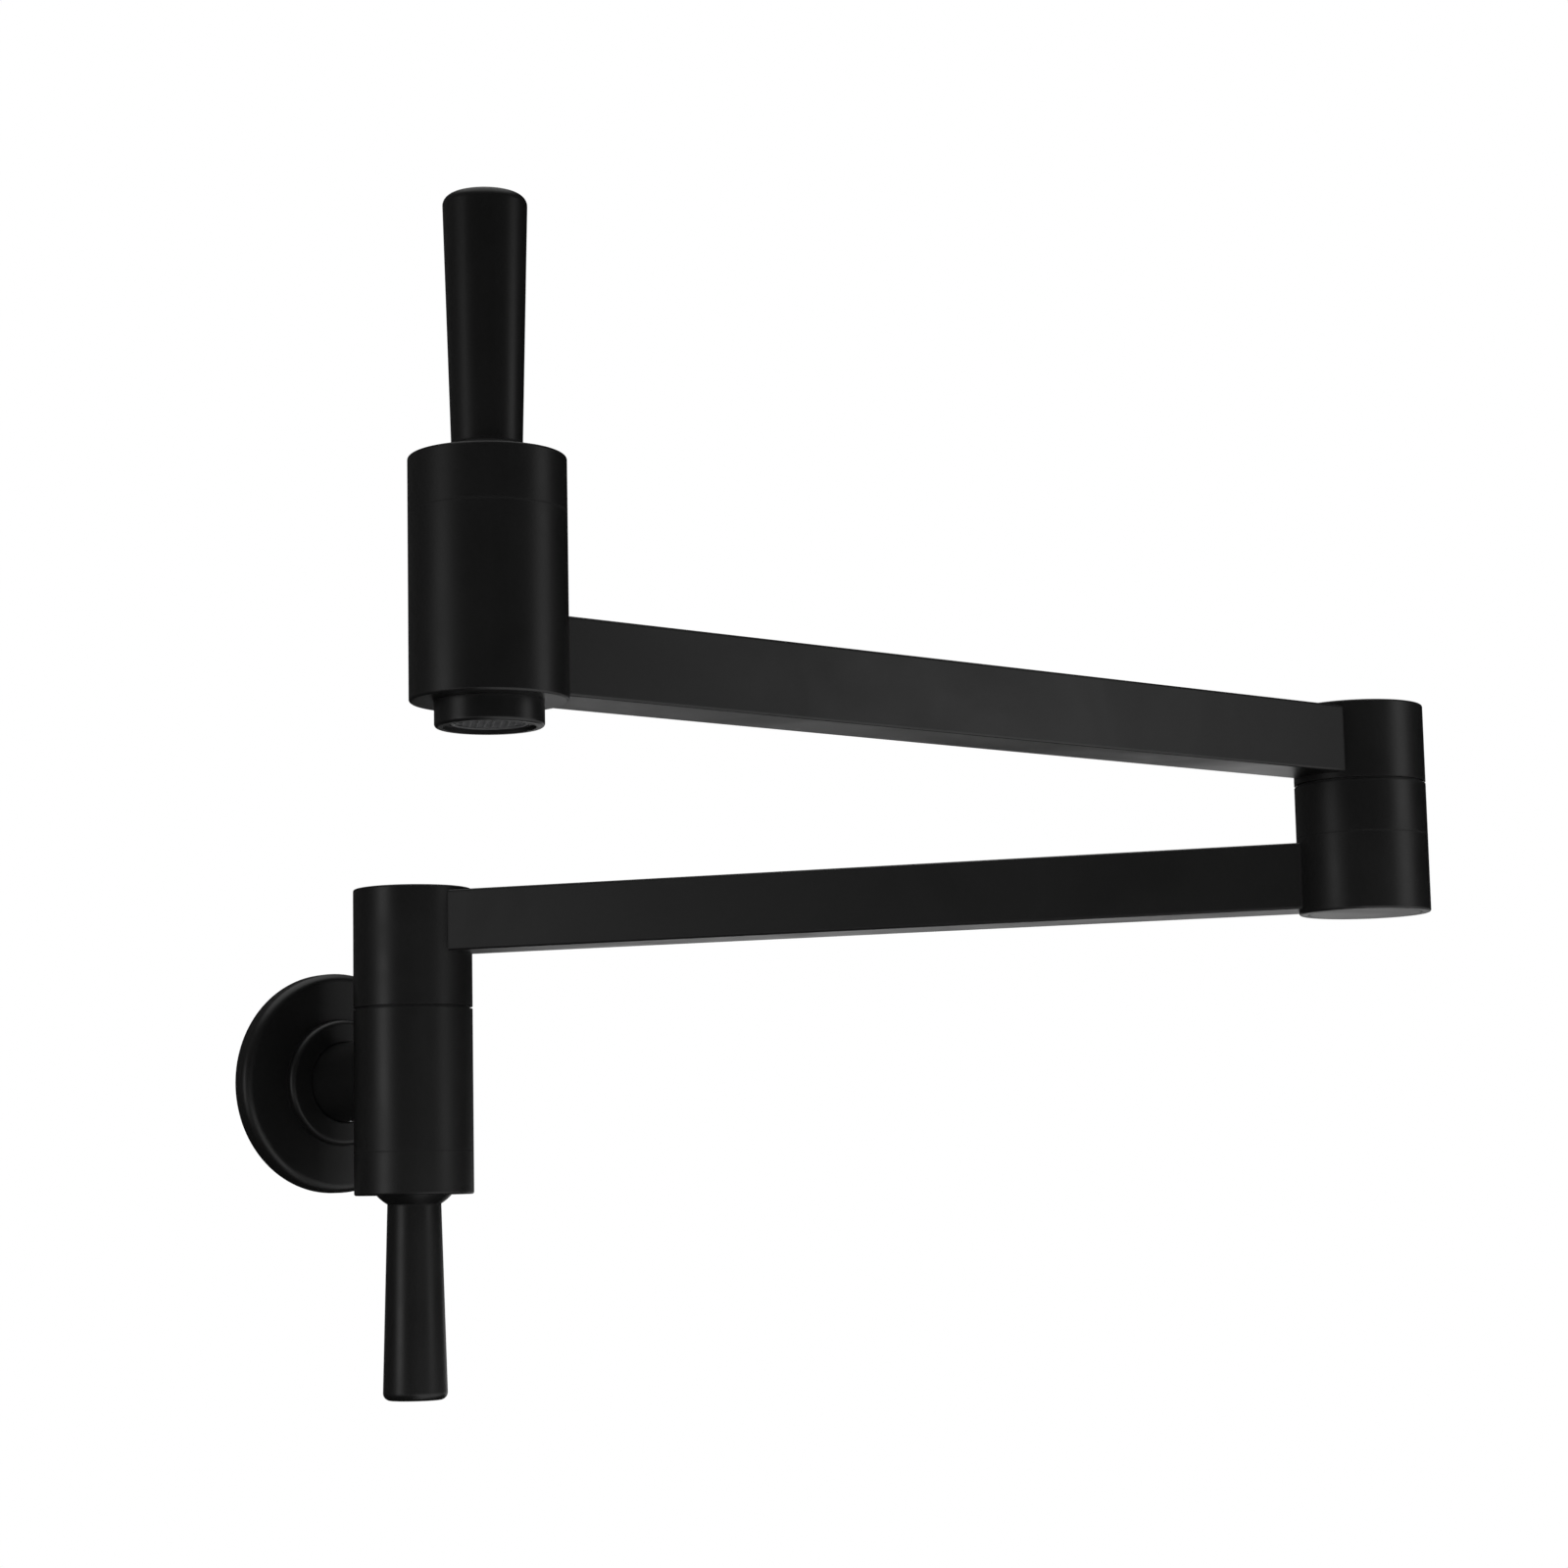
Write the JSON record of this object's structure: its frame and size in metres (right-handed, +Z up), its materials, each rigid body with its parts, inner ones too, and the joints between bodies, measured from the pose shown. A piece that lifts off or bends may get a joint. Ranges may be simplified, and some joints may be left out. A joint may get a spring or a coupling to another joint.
{
  "type": "folding wall faucet",
  "caption": "Wall-mounted folding faucet with jointed square arms on round swivel knuckles and a joystick lever valve at the wall and at the outlet, in matte black.",
  "frame": {"origin": "centre of the inlet's thread in the plane of the wall", "axes": "+Z up, -Y out of the wall into the room, +X to the right facing the wall"},
  "size_m": [0.316, 0.317, 0.2768],
  "materials": {
    "black_finish": "satin matte black coat",
    "brass": "turned",
    "steel": "ground",
    "rubber": "moulded",
    "cartridge_plastic": "moulded",
    "ceramic": "lapped",
    "bearing_plastic": "turned",
    "aerator_plastic": "moulded"
  },
  "bodies": {
    "wall_base": {"wall_flange": "black_finish", "flange_gasket": "rubber", "flange_grip_ring": "rubber", "inlet_nipple": "brass", "inlet_spigot": "brass", "nipple_washer": "rubber", "inlet_o_rings": "rubber", "neck_set_screw": "steel", "base_inlet_neck": "black_finish", "base_valve_body": "black_finish", "base_bonnet": "black_finish", "base_cartridge_housing": "cartridge_plastic", "base_cartridge_floor": "cartridge_plastic", "base_port_seals": "rubber", "base_fixed_disc": "ceramic", "base_cartridge_nut": "brass", "base_pivot_pin": "steel", "base_pivot_stem": "brass", "base_stem_o_rings": "rubber", "base_swivel_washer": "bearing_plastic", "base_thrust_washer": "bearing_plastic", "base_circlip": "steel"},
    "base_handle": {"base_lever": "black_finish", "base_dome": "black_finish", "base_spindle": "steel"},
    "base_slider": {"base_moving_disc": "ceramic", "base_disc_carrier": "cartridge_plastic"},
    "first_arm": {"base_knuckle": "black_finish", "base_knuckle_cap": "black_finish", "arm_1_bar": "black_finish", "elbow_lower_knuckle": "black_finish", "elbow_bottom_cap": "black_finish", "elbow_spacer": "black_finish", "elbow_swivel_washer": "bearing_plastic"},
    "second_arm": {"elbow_upper_knuckle": "black_finish", "elbow_top_cap": "black_finish", "elbow_pivot_stem": "brass", "elbow_stem_o_rings": "rubber", "elbow_circlip": "steel", "elbow_thrust_washer": "bearing_plastic", "arm_2_bar": "black_finish", "outlet_valve_body": "black_finish", "outlet_bonnet": "black_finish", "outlet_cartridge_housing": "cartridge_plastic", "outlet_cartridge_floor": "cartridge_plastic", "outlet_port_seals": "rubber", "outlet_fixed_disc": "ceramic", "outlet_cartridge_nut": "brass", "outlet_pivot_pin": "steel", "aerator_shell": "black_finish", "aerator_insert": "aerator_plastic", "aerator_washer": "rubber"},
    "outlet_handle": {"outlet_lever": "black_finish", "outlet_dome": "black_finish", "outlet_spindle": "steel"},
    "outlet_slider": {"outlet_moving_disc": "ceramic", "outlet_disc_carrier": "cartridge_plastic"}
  },
  "joints": [
    {"name": "base_swivel", "type": "hinge", "parent": "wall_base", "child": "first_arm", "pos_m": [0, -0.0465, 0.0204], "axis": [0, 0, 1], "range_deg": [-122.5, 57.5]},
    {"name": "elbow_swivel", "type": "hinge", "parent": "first_arm", "child": "second_arm", "pos_m": [0.15098, -0.28349, 0.0697], "axis": [0, 0, 1], "continuous": true},
    {"name": "base_lever_tilt", "type": "hinge", "parent": "wall_base", "child": "base_handle", "pos_m": [0, -0.0465, -0.0245], "axis": [-1, 0, 0], "range_deg": [0, 15]},
    {"name": "base_disc_slide", "type": "slide", "parent": "wall_base", "child": "base_slider", "axis": [0, 1, 0], "range_m": [0, 0.00276]},
    {"name": "outlet_lever_tilt", "type": "hinge", "parent": "second_arm", "child": "outlet_handle", "pos_m": [-0.13002, -0.28349, 0.1139], "axis": [0, -1, 0], "range_deg": [0, 15]},
    {"name": "outlet_disc_slide", "type": "slide", "parent": "second_arm", "child": "outlet_slider", "axis": [1, 0, 0], "range_m": [0, 0.00276]}
  ],
  "couplings": [
    {"joint": "base_disc_slide", "follows": "base_lever_tilt", "m_per_rad": 0.01048},
    {"joint": "outlet_disc_slide", "follows": "outlet_lever_tilt", "m_per_rad": 0.01048}
  ]
}
